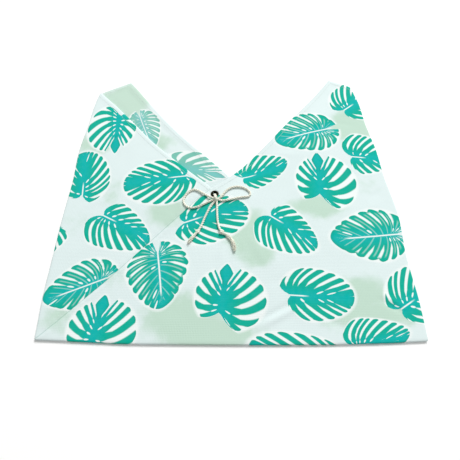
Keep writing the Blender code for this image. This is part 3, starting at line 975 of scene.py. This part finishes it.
def frontHeight(flat, place):
    x, y = flat.T
    fromSide = cloth["halfWidth"] - np.abs(x)
    fromFold = np.minimum(fromSide, y)
    soft = swellHeight(*place.T) + creaseRelief(flat) + eyeletPuckers(place)
    for scale, height, layer in cloth["wrinkles"]:
        soft = soft + height * noiseOver(flat, scale, layer)
    sewn = hemRelief(flat) + seamRelief(flat)
    # the far ear's edge hangs past the lower layer and sinks towards the table
    overhang = cloth["overhangDrop"] * softStep(-edgeDistance(flat, True) / cloth["overhangRun"]) * (x > 0)
    earSink = cloth["earDrop"] * (1.0 - softStep(edgeDistance(flat, False) / cloth["earRun"])) * (x < -lap)
    return (
        lying["foldHeight"] + soft * softStep(fromFold / cloth["fade"])
        + sewn * softStep(fromFold / cloth["sewnFade"])
        - (overhang + earSink) * softStep(fromSide / cloth["fade"])
    )


def backHeight(flat, place):
    # Flat on the table, but for the strip that shows beyond the upper layer's edge
    free = softStep(-edgeDistance(flat, False) / cloth["looseRun"]) * (flat[:, 0] < 0)
    free = free * softStep((cloth["halfWidth"] - np.abs(flat[:, 0])) / cloth["looseSide"])
    return cloth["looseEdge"] * free * (0.5 + 0.5 * noiseOver(flat, *cloth["looseWaves"]))


def clothLayer(top, height, mirrored):
    points, at = layerGrid(top)
    flat = np.array(points) * cell
    place = lay(flat)
    verts = np.column_stack([place - (0.0, lying["middleY"]), height(flat, place)])
    return {"at": at, "flat": flat, "place": place, "verts": verts, "mirrored": mirrored}


def foldRows(rim):
    # Half circles from the lower layer's rim round to the upper layer's
    along = np.gradient(rim[:, :2], axis=0)
    along /= np.linalg.norm(along, axis=1)[:, None]
    outward = np.column_stack([along[:, 1], -along[:, 0]])
    radius = lying["foldHeight"] / 2
    rows = []
    for step in range(1, cloth["foldSteps"]):
        turn = math.pi * step / cloth["foldSteps"]
        flat = rim[:, :2] + outward * radius * math.sin(turn)
        rows.append(np.column_stack([flat, np.full(len(rim), radius * (1.0 - math.cos(turn)))]))
    return rows


def foldRings(front, back):
    # All the points, the grid points of the rim, and the rings that lead from the lower
    # layer's rim round the folds to the upper layer's
    wide = cloth["cells"]
    rim = [(-wide, j) for j in range(frontTop(-wide), 0, -1)]
    rim += [(i, 0) for i in range(-wide, wide + 1)]
    rim += [(wide, j) for j in range(1, frontTop(wide) + 1)]
    backRim = [back["at"][point] for point in rim]
    rows = foldRows(back["verts"][backRim])
    offset = len(front["flat"])
    starts = [offset + len(back["flat"]) + row * len(rim) for row in range(len(rows))]
    rings = [[offset + index for index in backRim]]
    rings += [list(range(start, start + len(rim))) for start in starts]
    rings += [[front["at"][point] for point in rim]]
    return np.vstack([front["verts"], back["verts"], *rows]), rim, rings


def foldFaces(rim, rings):
    # Faces of each fold, and the drafted place of each of their corners
    half, wide = cloth["halfWidth"], cloth["cells"]
    left = frontTop(-wide)
    faces = {"foldLeft": [], "foldNear": [], "foldRight": []}
    flat = {name: [] for name in faces}
    for ring in range(len(rings) - 1):
        for index in range(len(rim) - 1):
            name = "foldLeft" if index < left else "foldNear" if index < left + 2 * wide else "foldRight"
            corners = ((ring, index), (ring, index + 1), (ring + 1, index + 1), (ring + 1, index))
            faces[name].append(tuple(rings[row][column] for row, column in corners))
            for row, column in corners:
                i, j = rim[column]
                past = foldArc * (1.0 - row / (len(rings) - 1))
                flat[name].append({
                    "foldLeft": (-half - past, j * cell),
                    "foldNear": (i * cell, -past),
                    "foldRight": (half + past, j * cell),
                }[name])
    return faces, {name: np.array(places) for name, places in flat.items()}


def layerRegions(front, back):
    # Faces sorted by the sewn piece that they belong to, with the eyelet's hole left open
    def outsideHole(face):
        return math.dist(front["place"][list(face)].mean(axis=0), lying["eyelet"]) > cloth["eyeletCut"]

    offset = len(front["flat"])
    frontEar, frontBody = layerFaces(front["at"], False)
    regions = {"frontEar": frontEar, "frontBody": [face for face in frontBody if outsideHole(face)]}
    for name, faces in zip(("backEar", "backBody"), layerFaces(back["at"], True)):
        regions[name] = [tuple(offset + index for index in reversed(face)) for face in faces]
    return regions


def leafOptions(name, flat):
    # The leaves that may be printed on a region: its own, and on the lower layer also those
    # that run on from the front round a fold
    if name.startswith("fold"):
        rows = leafRows["frontEar" if name == "foldLeft" else "frontBody"]
        return [(flat, row, False) for row in rows]
    options = [(flat, row, name.startswith("back")) for row in leafRows[name]]
    x, y = flat.T
    across = 2 * cloth["halfWidth"] + foldArc
    unfolded = {
        "backBody": [("frontEar", (-across - x, y)), ("frontBody", (x, -foldArc - y))],
        "backEar": [("frontBody", (across - x, y))],
    }
    for source, places in unfolded.get(name, []):
        options += [(np.column_stack(places), row, False) for row in leafRows[source]]
    return options


def nearestLeaf(faces, options):
    # Each corner's print values from the leaf nearest to its face, and each face's form and seed
    sizes = np.array([len(face) for face in faces])
    owner = np.repeat(np.arange(len(faces)), sizes)
    nearest = np.full(len(faces), np.inf)
    corners = np.zeros((len(owner), 8))
    forms = np.zeros((len(faces), 3))
    seeds = np.zeros(len(faces))
    for flat, row, mirrored in options:
        stalkX, stalkY, _, _, half, name = row
        form = leafForms[name]
        u, v = leafLocal(flat, row, mirrored)
        distance = np.bincount(owner, (leafOutline(u, v, form) - 1.0) * abs(half)) / sizes
        closer = distance < nearest
        nearest[closer] = distance[closer]
        picked = closer[owner]
        u, v = u[picked], v[picked]
        corners[picked] = np.column_stack([*leafFields(u, v, form), u, v])
        forms[closer] = (form["slit"], form["vein"], form["ribEnd"])
        seeds[closer] = stalkX + 3 * stalkY     # a number of its own for each leaf
    return corners, forms, seeds


# The maps that carry the print, and what the shader reads from each
printMaps = {
    "threads": ("warpPlace", "weftPlace"),
    "leafVeins": ("phase", "along"),
    "leafRim": ("outline", "lobe"),
    "leafEnd": ("pastEnd", "endSolid"),
    "leafPlace": ("u", "v"),
}


def buildCloth(materials):
    front = clothLayer(frontTop, frontHeight, False)
    back = clothLayer(backTop, backHeight, True)
    verts, rim, rings = foldRings(front, back)
    folds, foldFlat = foldFaces(rim, rings)
    own = np.vstack([front["flat"], back["flat"]])
    faces, corners, forms, seeds = [], [], [], []
    for name, regionFaces in {**layerRegions(front, back), **folds}.items():
        flat = foldFlat[name] if name in foldFlat else own[[index for face in regionFaces for index in face]]
        threads = np.column_stack([flat[:, 0] + flat[:, 1], flat[:, 1] - flat[:, 0]]) * 1000 / math.sqrt(2)
        printed, form, seed = nearestLeaf(regionFaces, leafOptions(name, flat))
        faces += regionFaces
        corners.append(np.column_stack([threads, printed]))
        forms.append(form)
        seeds.append(seed)

    piece = newPiece("printedBag", verts, faces, materials[0])
    data = piece.data
    data.materials.append(materials[1])
    for column, name in enumerate(printMaps):
        values = np.vstack(corners)[:, 2 * column:2 * column + 2]
        data.uv_layers.new(name=name).data.foreach_set("uv", values.astype(np.float32).ravel())

    # the wash, on the layers and round the folds, and the seam's line where its shadow is painted, on the
    # layers only
    wash, seam = np.zeros((2, len(verts)))
    for name, foldFace in folds.items():
        wash[np.array(foldFace).ravel()] = secondPrint(foldFlat[name], "front")
    wash[:len(own)] = np.concatenate([secondPrint(front["flat"], "front"), secondPrint(back["flat"], "back")])
    onSeam, inward = [], []
    for layer in (front, back):
        over, runs = seamDistance(layer["flat"], layer["mirrored"])
        onSeam.append(runs & (np.abs(over) < hemRow / 2))
        inward.append(edgeDistance(layer["flat"], layer["mirrored"]))
    seam[:len(own)] = np.concatenate(onSeam)
    for name, kind, domain, field, values in (
        ("leafForm", "FLOAT_VECTOR", "FACE", "vector", np.vstack(forms)),
        ("leafSeed", "FLOAT", "FACE", "value", np.concatenate(seeds)),
        ("secondPrint", "FLOAT", "POINT", "value", wash),
        ("seamLine", "FLOAT", "POINT", "value", seam),
    ):
        layer = data.attributes.new(name, kind, domain)
        layer.data.foreach_set(field, values.astype(np.float32).ravel())

    hems = piece.vertex_groups.new(name="hem")
    inHem = np.concatenate(inward) < (cloth["hemRows"] + 0.5) * hemRow
    hems.add(np.flatnonzero(inHem).tolist(), 1.0, "REPLACE")
    sheet = piece.modifiers.new("cloth thickness", "SOLIDIFY")
    sheet.thickness = cloth["thickness"]
    sheet.offset = -1.0
    sheet.vertex_group = "hem"
    sheet.thickness_vertex_group = cloth["plainShare"]
    sheet.material_offset = 1
    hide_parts("bag_cloth")
    return piece


# Printed cotton: matt plain weave, the print sunk into the threads, with a painted shadow line along the seam

cottonLook = {
    "colours": {
        "ground": "#d9e7e6",
        "sage": "#bdd7c7",
        "bare": "#e9f0ee",          # unprinted cotton round each leaf
        "ink": "#08aa92",
        "inkCore": "#0aafa8",
        "inkEdge": "#06937e",
        # painted shadow colour, laid along the seam's gap
        "seamShadow": "#9dbdb2",
    },
    "roughness": 0.88,
    "threadPitch": 1.3,             # mm; real threads are 0.5 mm apart, drawn coarser to show
    "weaveHeight": 0.00009,
    # noise over the cloth: length along and across the warp in millimetres, and detail
    "noises": {
        "blotches": (6.0, 6.0, 3.0),        # where the ink took unevenly
        "wander": (16.0, 16.0, 4.0),        # of the wash's edge, as water colour does
        "slubsAlong": (9.0, 0.9, 2.0),      # the thicker stretches of single threads
        "slubsAcross": (0.9, 9.0, 2.0),
    },
    "washEdge": (0.58, 1.14),
}

# Each step of the print: name, what it does, and what it works on. A name that ends in Mask
# is kept between 0 and 1. Lengths are shares of the leaf's own, and 1 is its rim.
printRecipe = [
    # past the last finger there is no leaf, and near it no slit
    ("overEnd", "MAXIMUM", "pastEnd", 0.0),
    ("rim", "MULTIPLY_ADD", "overEnd", 12.0, "outline"),
    ("nearEnd", "ADD", "pastEnd", "endSolid"),
    ("overNear", "MAXIMUM", "nearEnd", 0.0),
    ("depth", "MULTIPLY_ADD", "overNear", -4.0, "along"),
    # a chance of its own for each slit
    ("slitNumber", "ROUND", "phase"),
    ("slitSeed", "MULTIPLY_ADD", "slitNumber", 2.399, "seed"),
    ("slitSine", "SINE", "slitSeed"),
    ("slitSpread", "MULTIPLY", "slitSine", 37.0),
    ("chance", "FRACT", "slitSpread"),
    # slits: uneven in depth, wider outwards, and some on a veined leaf stay closed
    ("wave", "FRACT", "phase"),
    ("centred", "SUBTRACT", "wave", 0.5),
    ("across", "ABSOLUTE", "centred"),
    ("slitShift", "MULTIPLY_ADD", "chance", 0.5, -0.25),
    ("slitDepth", "ADD", "depth", "slitShift"),
    ("openMask", "MULTIPLY", "slitDepth", 1.6),
    ("slitHalf", "MULTIPLY", "slitWidth", "openMask"),
    ("slitSide", "MULTIPLY_ADD", "slitHalf", 0.5, "across"),
    ("slitEdge", "SUBTRACT", "slitSide", 0.5),
    ("slitInner", "MINIMUM", "slitEdge", "slitDepth"),
    ("closedShare", "MULTIPLY", "veinWidth", 2.8),
    ("slitClosed", "GREATER_THAN", "closedShare", "chance"),
    ("slitReach", "MULTIPLY_ADD", "slitClosed", -0.5, 1.36),
    ("slitOuter", "SUBTRACT", "slitReach", "rim"),
    ("slitField", "MINIMUM", "slitInner", "slitOuter"),
    ("uncutMask", "MULTIPLY_ADD", "slitField", -11.0, 0.5),
    # round holes near the midrib, between the slits
    ("holeAlong", "MULTIPLY_ADD", "depth", 4.0, 1.7),
    ("holeAcross", "MULTIPLY_ADD", "across", -6.2, 3.1),
    ("holeSquare", "MULTIPLY", "holeAlong", "holeAlong"),
    ("holeRound", "MULTIPLY_ADD", "holeAcross", "holeAcross", "holeSquare"),
    ("holeHere", "GREATER_THAN", "chance", 0.45),
    ("holeInside", "MULTIPLY_ADD", "holeRound", -3.0, 3.0),
    ("holeMask", "MULTIPLY", "holeInside", "holeHere"),
    ("notHole", "SUBTRACT", 1.0, "holeMask"),
    # a pale vein down each finger, and the pale midrib
    ("veinSide", "SUBTRACT", "veinWidth", "across"),
    ("veinSideMask", "MULTIPLY", "veinSide", 18.0),
    ("veinEnd", "SUBTRACT", 0.88, "rim"),
    ("veinEndMask", "MULTIPLY", "veinEnd", 12.0),
    ("veinMask", "MULTIPLY", "veinSideMask", "veinEndMask"),
    ("notVein", "MULTIPLY_ADD", "veinMask", -0.28, 1.0),
    ("fromRib", "ABSOLUTE", "u"),
    ("ribSide", "SUBTRACT", 0.032, "fromRib"),
    ("ribSideMask", "MULTIPLY", "ribSide", 60.0),
    ("ribTip", "SUBTRACT", "ribEnd", "v"),
    ("ribTipMask", "MULTIPLY", "ribTip", 10.0),
    ("ribMask", "MULTIPLY", "ribSideMask", "ribTipMask"),
    ("notRib", "SUBTRACT", 1.0, "ribMask"),
    # fingers with rounded ends, inside the rim
    ("fingerEnd", "MULTIPLY", "across", "across"),
    ("fingerRound", "MULTIPLY", "fingerEnd", "openMask"),
    ("roundRim", "MULTIPLY_ADD", "fingerRound", 0.40, "rim"),
    ("rimField", "SUBTRACT", 1.0, "roundRim"),
    ("rimMask", "MULTIPLY_ADD", "rimField", 80.0, 0.5),
    # the lobe at the tip, clear of the fingers
    ("aboveFingers", "SUBTRACT", "v", 0.64),
    ("aboveMask", "MULTIPLY", "aboveFingers", 40.0),
    ("lobeGap", "ADD", "lobe", 0.055),
    ("lobeGapMask", "MULTIPLY", "lobeGap", 60.0),
    ("gapMask", "MULTIPLY", "lobeGapMask", "aboveMask"),
    ("notGap", "SUBTRACT", 1.0, "gapMask"),
    ("lobeMask", "MULTIPLY_ADD", "lobe", 80.0, 0.5),
    # where there is ink, a little thinner here and there
    ("leafCut", "MULTIPLY", "rimMask", "uncutMask"),
    ("leafHoled", "MULTIPLY", "leafCut", "notHole"),
    ("leafVeined", "MULTIPLY", "leafHoled", "notVein"),
    ("leafRibbed", "MULTIPLY", "leafVeined", "notRib"),
    ("leafGapped", "MULTIPLY", "leafRibbed", "notGap"),
    ("inkMask", "MAXIMUM", "leafGapped", "lobeMask"),
    ("thickMask", "MULTIPLY_ADD", "blotches", 2.5, -0.75),
    ("thin", "MULTIPLY_ADD", "thickMask", 0.015, 0.985),
    ("inkHere", "MULTIPLY", "inkMask", "thin"),
    ("inkSeen", "MULTIPLY", "inkHere", "inkShare"),
    # a bare margin round the leaf, a core and an edge of its ink
    ("haloRim", "SUBTRACT", 1.09, "rim"),
    ("haloRimMask", "MULTIPLY", "haloRim", 11.0),
    ("haloLobe", "ADD", "lobe", 0.09),
    ("haloLobeMask", "MULTIPLY", "haloLobe", 11.0),
    ("haloMask", "MAXIMUM", "haloRimMask", "haloLobeMask"),
    ("coreMask", "MULTIPLY_ADD", "fromRib", -2.6, 1.15),
    ("edgeField", "MAXIMUM", "rimField", "lobe"),
    ("edgeMask", "MULTIPLY_ADD", "edgeField", -6.0, 0.5),
    ("wandered", "MULTIPLY_ADD", "wander", 0.7, "wash"),
    # a painted shadow line where the sewn edges meet, about 1 mm wide: the shade of the seam's gap, painted
    # into the colour
    ("seamShadowMask", "MULTIPLY_ADD", "seam", 2.5, -1.25),
    ("seamShadowShare", "MULTIPLY", "seamShadowMask", 0.4),
    # over and under of the plain weave, and slubs along both sets of threads
    ("warpTurn", "MULTIPLY", "warpPlace", "weaveScale"),
    ("weftTurn", "MULTIPLY", "weftPlace", "weaveScale"),
    ("warp", "SINE", "warpTurn"),
    ("weft", "SINE", "weftTurn"),
    ("weave", "MULTIPLY", "warp", "weft"),
    ("slubbed", "MULTIPLY_ADD", "slubsAlong", 1.4, "weave"),
    ("height", "MULTIPLY_ADD", "slubsAcross", 1.4, "slubbed"),
]
# Colours laid one over another: name, how, by what share, under and over
colourRecipe = [
    ("washed", "MIX", "tone", "ground", "sage"),
    ("cleared", "MIX", "haloMask", "washed", "bare"),
    ("cored", "MIX", "coreMask", "ink", "inkCore"),
    ("edged", "MIX", "edgeMask", "cored", "inkEdge"),
    ("printed", "MIX", "inkSeen", "cleared", "edged"),
    ("faded", "MIX", "fade", "printed", "bare"),
    # the seam's painted shadow, multiplied over the cloth's colour
    ("sewn", "MULTIPLY", "seamShadowShare", "faded", "seamShadow"),
]


def printedCotton(name, inkShare, groundShare):
    # The reverse shows the same print a little paler, as it soaked through the threads
    material, tree, shader = newMaterial(name, {
        "Roughness": cottonLook["roughness"], "IOR": 1.5, "Specular IOR Level": 0.06,
    })
    values = {key: toLinear(colour) for key, colour in cottonLook["colours"].items()}
    values["inkShare"] = inkShare
    values["fade"] = 1.0 - groundShare
    values["weaveScale"] = math.pi / cottonLook["threadPitch"]
    for mapName, names in printMaps.items():
        printMap = addNode(tree, "UVMap", {"uv_map": mapName})
        parts = addNode(tree, "SeparateXYZ", {0: printMap.outputs[0]})
        values[mapName] = printMap.outputs[0]
        values[names[0]], values[names[1]] = parts.outputs[0], parts.outputs[1]
    form = addNode(tree, "Attribute", {"attribute_name": "leafForm"})
    formParts = addNode(tree, "SeparateXYZ", {0: form.outputs["Vector"]})
    values["slitWidth"], values["veinWidth"], values["ribEnd"] = formParts.outputs
    for key, attribute in (("seed", "leafSeed"), ("wash", "secondPrint"), ("seam", "seamLine")):
        values[key] = addNode(tree, "Attribute", {"attribute_name": attribute}).outputs["Fac"]
    for key, (length, width, detail) in cottonLook["noises"].items():
        drawn = addNode(tree, "Mapping", {
            "Scale": (1 / length, 1 / width, 1.0), "Vector": values["threads"],
        })
        patches = addNode(tree, "TexNoise", {"Scale": 1.0, "Detail": detail, "Vector": drawn.outputs[0]})
        values[key] = patches.outputs[0]
    for step, operation, *sources in printRecipe:
        inputs = {socket: values.get(source, source) for socket, source in enumerate(sources)}
        values[step] = addNode(tree, "Math", {
            "operation": operation, "use_clamp": step.endswith("Mask"), **inputs,
        }).outputs[0]
    edgeStart, edgeEnd = cottonLook["washEdge"]
    values["tone"] = addNode(tree, "MapRange", {
        "interpolation_type": "SMOOTHSTEP", "From Min": edgeStart, "From Max": edgeEnd, 0: values["wandered"],
    }).outputs[0]
    for step, blend, share, under, over in colourRecipe:
        values[step] = addNode(tree, "Mix", {
            "data_type": "RGBA", "blend_type": blend, 0: values[share], 6: values[under], 7: values[over],
        }).outputs[2]
    bump = addNode(tree, "Bump", {
        "Strength": 0.55, "Distance": cottonLook["weaveHeight"], "Height": values["height"],
    })
    tree.links.new(values["sewn"], shader.inputs["Base Color"])
    tree.links.new(bump.outputs[0], shader.inputs["Normal"])
    return material


rightSide = printedCotton("printed cotton, right side", inkShare=1.0, groundShare=1.0)
reverseSide = printedCotton("printed cotton, reverse", inkShare=0.80, groundShare=0.97)
printedBag = buildCloth((rightSide, reverseSide))
print("stage: printed cloth,", len(printedBag.data.polygons), "faces")


# The stitches of the hem, along the mouth in front and on the strip of reverse that shows

stitchLook = {
    "pitch": 0.0032,
    "length": 0.0026,
    "radius": 0.00022,
    "sides": 6,
    "stand": 0.00010,               # of a stitch's middle over the cloth
    # share of the length, height as a share of stand, and share of the radius
    "profile": [(0.0, -1.0, 0.5), (0.2, 0.6, 1.0), (0.5, 1.0, 1.1), (0.8, 0.6, 1.0), (1.0, -1.0, 0.5)],
    "searchFrom": 0.05,             # well over the bag, looking down for its surface
    "reverseBelow": 0.0025,         # the layer in front lies higher than this
    "colour": "#cfdbd6",
}


def buildStitches(bag):
    # Sewing thread: a little duller than the cloth, so the row reads as a fine dotted line
    look = stitchLook
    thread, _, _ = newMaterial("pale sewing thread", {
        "Base Color": toLinear(look["colour"]), "Roughness": 0.7, "Specular IOR Level": 0.2,
    })
    bpy.context.view_layer.update()
    surface = bvhtree.BVHTree.FromObject(bag, bpy.context.evaluated_depsgraph_get())
    half = cloth["halfWidth"]
    inset = cloth["stitchRows"] * cell
    corners = np.array([
        (-half, 2 * half - 2 * lap - inset), (-lap, half - lap - inset),
        (half - lap, 2 * half - lap - inset), (half, 2 * half - 2 * lap - inset),
    ])
    shares, heights, widths = np.array(look["profile"]).T
    form = emptyForm()
    for side, highest in ((1, math.inf), (-1, look["reverseBelow"])):
        for start, end in zip(corners[:-1], corners[1:]):
            run = np.linalg.norm(end - start)
            for first in np.arange(0.0, run - look["length"], look["pitch"]):
                flat = start + np.outer((first + shares * look["length"]) / run, end - start)
                place = lay(flat * (side, 1)) - (0.0, lying["middleY"])
                hits = [surface.ray_cast((x, y, look["searchFrom"]), (0.0, 0.0, -1.0))[0] for x, y in place]
                if None in hits or max(hit.z for hit in hits) > highest:
                    continue
                path = np.array(hits) + np.outer(heights, (0.0, 0.0, look["stand"]))
                addTube(form, path, look["radius"] * widths, roundSection(look["sides"]))
    return formPiece("hemStitches", form, thread)


hemStitches = buildStitches(printedBag)
print("stage: stitches,", len(hemStitches.data.polygons), "faces")


# Soft studio light and a plain pale floor

studio = {
    "floorColour": "#fbfbfa",
    "floorDrop": 0.0002,
    "floorSize": 8.0,
    "worldColour": "#ffffff",
    "worldOverhead": 0.56,
    "worldLevel": 0.28,             # the room is darker low down, round a light ceiling
    "keyPlace": (1.6, 3.4, 3.8),
    "keySize": 2.2,
    "keyPower": 280.0,
}

floorMesh = bpy.data.meshes.new("studioFloor")
reach = studio["floorSize"] / 2
floorCorners = [(-reach, -reach, 0.0), (reach, -reach, 0.0), (reach, reach, 0.0), (-reach, reach, 0.0)]
floorMesh.from_pydata(floorCorners, [], [(0, 1, 2, 3)])
floorPaper, _, _ = newMaterial("matt white paper", {
    "Base Color": toLinear(studio["floorColour"]), "Roughness": 0.95, "Specular IOR Level": 0.1,
})
floorMesh.materials.append(floorPaper)
placeObject("studioFloor", floorMesh, (0.0, 0.0, -studio["floorDrop"]))

world = bpy.data.worlds.new("softStudio")
bpy.context.scene.world = world
world.use_nodes = True
background = world.node_tree.nodes["Background"]
background.inputs[0].default_value = toLinear(studio["worldColour"])
skyPlace = addNode(world.node_tree, "TexCoord", {})
skyParts = addNode(world.node_tree, "SeparateXYZ", {0: skyPlace.outputs["Generated"]})
skyRise = addNode(world.node_tree, "MapRange", {
    "To Min": studio["worldLevel"], "To Max": studio["worldOverhead"], 0: skyParts.outputs[2],
})
world.node_tree.links.new(skyRise.outputs[0], background.inputs[1])
keyLight = bpy.data.lights.new("keySoftbox", "AREA")
keyLight.size = studio["keySize"]
keyLight.energy = studio["keyPower"]
key = placeObject("keySoftbox", keyLight, studio["keyPlace"])
key.rotation_euler = (-Vector(studio["keyPlace"])).to_track_quat("-Z", "Y").to_euler()
bpy.context.scene.view_settings.view_transform = "Standard"
print("stage: floor and light")
